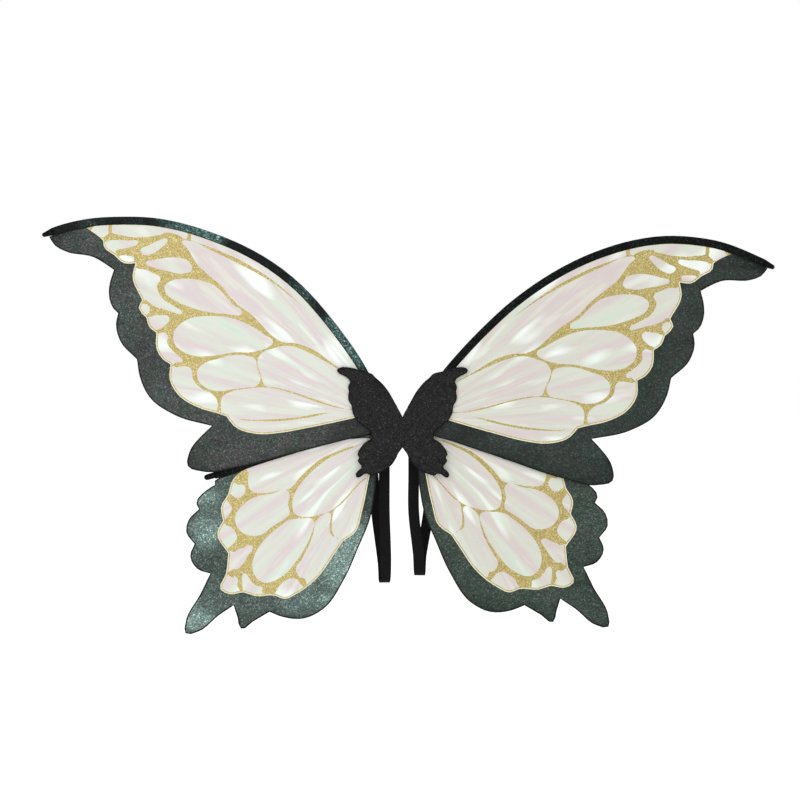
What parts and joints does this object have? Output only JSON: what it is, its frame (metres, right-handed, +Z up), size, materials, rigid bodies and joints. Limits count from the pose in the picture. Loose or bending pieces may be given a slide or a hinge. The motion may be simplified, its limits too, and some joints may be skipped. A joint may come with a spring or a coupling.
{
  "type": "fairy wings",
  "caption": "Wearable butterfly-shaped fairy wings: film panels in dark glitter borders on a folding hub with elastic arm loops.",
  "frame": {"origin": "centre of the back pad face that rests on the wearer", "axes": "+X to the right as seen from behind the wearer, +Y towards the wearer, +Z up"},
  "size_m": [1.0026, 0.0698, 0.5717],
  "materials": {
    "back_pad": "black padded fabric",
    "back_plate": "black",
    "border_lower_left": "glitter-coated fabric, dark green-black",
    "border_lower_right": "glitter-coated fabric, dark green-black",
    "border_upper_left": "glitter-coated fabric, dark green-black",
    "border_upper_right": "glitter-coated fabric, dark green-black",
    "casing_lower_left": "black sewn fabric casing",
    "casing_lower_right": "black sewn fabric casing",
    "casing_upper_left": "black sewn fabric casing",
    "casing_upper_right": "black sewn fabric casing",
    "cover_left": "black glitter felt",
    "cover_right": "black glitter felt",
    "cover_waist": "black glitter felt",
    "film_lower_left": "pearly iridescent film with gold glitter veins",
    "film_lower_right": "pearly iridescent film with gold glitter veins",
    "film_upper_left": "pearly iridescent film with gold glitter veins",
    "film_upper_right": "pearly iridescent film with gold glitter veins",
    "fold_pin": "plain steel",
    "lower_pivot_screw_left": "plain steel",
    "lower_pivot_screw_right": "plain steel",
    "pivot_bush_left": "plain plastic bush",
    "pivot_bush_right": "plain plastic bush",
    "rivet_inner_left": "plain steel",
    "rivet_inner_right": "plain steel",
    "rivet_outer_left": "plain steel",
    "rivet_outer_right": "plain steel",
    "rod_cap_lower_left": "black fibre-reinforced plastic",
    "rod_cap_lower_right": "black fibre-reinforced plastic",
    "rod_cap_upper_left": "black fibre-reinforced plastic",
    "rod_cap_upper_right": "black fibre-reinforced plastic",
    "rod_lower_left": "black fibre-reinforced plastic",
    "rod_lower_right": "black fibre-reinforced plastic",
    "rod_upper_left": "black fibre-reinforced plastic",
    "rod_upper_right": "black fibre-reinforced plastic",
    "root_plate_left": "moulded black plastic",
    "root_plate_right": "moulded black plastic",
    "socket_lower_left": "moulded black plastic",
    "socket_lower_right": "moulded black plastic",
    "socket_upper_left": "moulded black plastic",
    "socket_upper_right": "moulded black plastic",
    "strap_left": "black woven elastic",
    "strap_right": "black woven elastic",
    "upper_pivot_screw_left": "plain steel",
    "upper_pivot_screw_right": "plain steel"
  },
  "bodies": {
    "hub": {"back_plate": "back_plate", "back_pad": "back_pad", "fold_pin": "fold_pin", "cover_waist": "cover_waist", "strap_left": "strap_left", "strap_right": "strap_right", "rivet_inner_left": "rivet_inner_left", "rivet_inner_right": "rivet_inner_right", "rivet_outer_left": "rivet_outer_left", "rivet_outer_right": "rivet_outer_right"},
    "root_left": {"root_plate_left": "root_plate_left", "cover_left": "cover_left", "upper_pivot_screw_left": "upper_pivot_screw_left", "lower_pivot_screw_left": "lower_pivot_screw_left", "pivot_bush_left": "pivot_bush_left"},
    "upper_wing_left": {"socket_upper_left": "socket_upper_left", "rod_upper_left": "rod_upper_left", "rod_cap_upper_left": "rod_cap_upper_left", "casing_upper_left": "casing_upper_left", "border_upper_left": "border_upper_left", "film_upper_left": "film_upper_left"},
    "lower_wing_left": {"socket_lower_left": "socket_lower_left", "rod_lower_left": "rod_lower_left", "rod_cap_lower_left": "rod_cap_lower_left", "casing_lower_left": "casing_lower_left", "border_lower_left": "border_lower_left", "film_lower_left": "film_lower_left"},
    "root_right": {"root_plate_right": "root_plate_right", "cover_right": "cover_right", "upper_pivot_screw_right": "upper_pivot_screw_right", "lower_pivot_screw_right": "lower_pivot_screw_right", "pivot_bush_right": "pivot_bush_right"},
    "upper_wing_right": {"socket_upper_right": "socket_upper_right", "rod_upper_right": "rod_upper_right", "rod_cap_upper_right": "rod_cap_upper_right", "casing_upper_right": "casing_upper_right", "border_upper_right": "border_upper_right", "film_upper_right": "film_upper_right"},
    "lower_wing_right": {"socket_lower_right": "socket_lower_right", "rod_lower_right": "rod_lower_right", "rod_cap_lower_right": "rod_cap_lower_right", "casing_lower_right": "casing_lower_right", "border_lower_right": "border_lower_right", "film_lower_right": "film_lower_right"}
  },
  "joints": [
    {"name": "fold_left", "type": "hinge", "parent": "hub", "child": "root_left", "pos_m": [0, -0.0185, 0], "axis": [0, 0, 1], "range_deg": [0, 34]},
    {"name": "upper_swing_left", "type": "hinge", "parent": "root_left", "child": "upper_wing_left", "pos_m": [-0.017, -0.01865, 0.027], "axis": [0, 1, 0], "range_deg": [-16, 12]},
    {"name": "lower_swing_left", "type": "hinge", "parent": "root_left", "child": "lower_wing_left", "pos_m": [-0.022, -0.014, -0.008], "axis": [0, 1, 0], "range_deg": [-14, 12]},
    {"name": "fold_right", "type": "hinge", "parent": "hub", "child": "root_right", "pos_m": [0, -0.0185, 0], "axis": [0, 0, -1], "range_deg": [0, 34]},
    {"name": "upper_swing_right", "type": "hinge", "parent": "root_right", "child": "upper_wing_right", "pos_m": [0.017, -0.01865, 0.027], "axis": [0, -1, 0], "range_deg": [-16, 12]},
    {"name": "lower_swing_right", "type": "hinge", "parent": "root_right", "child": "lower_wing_right", "pos_m": [0.022, -0.014, -0.008], "axis": [0, -1, 0], "range_deg": [-14, 12]}
  ]
}
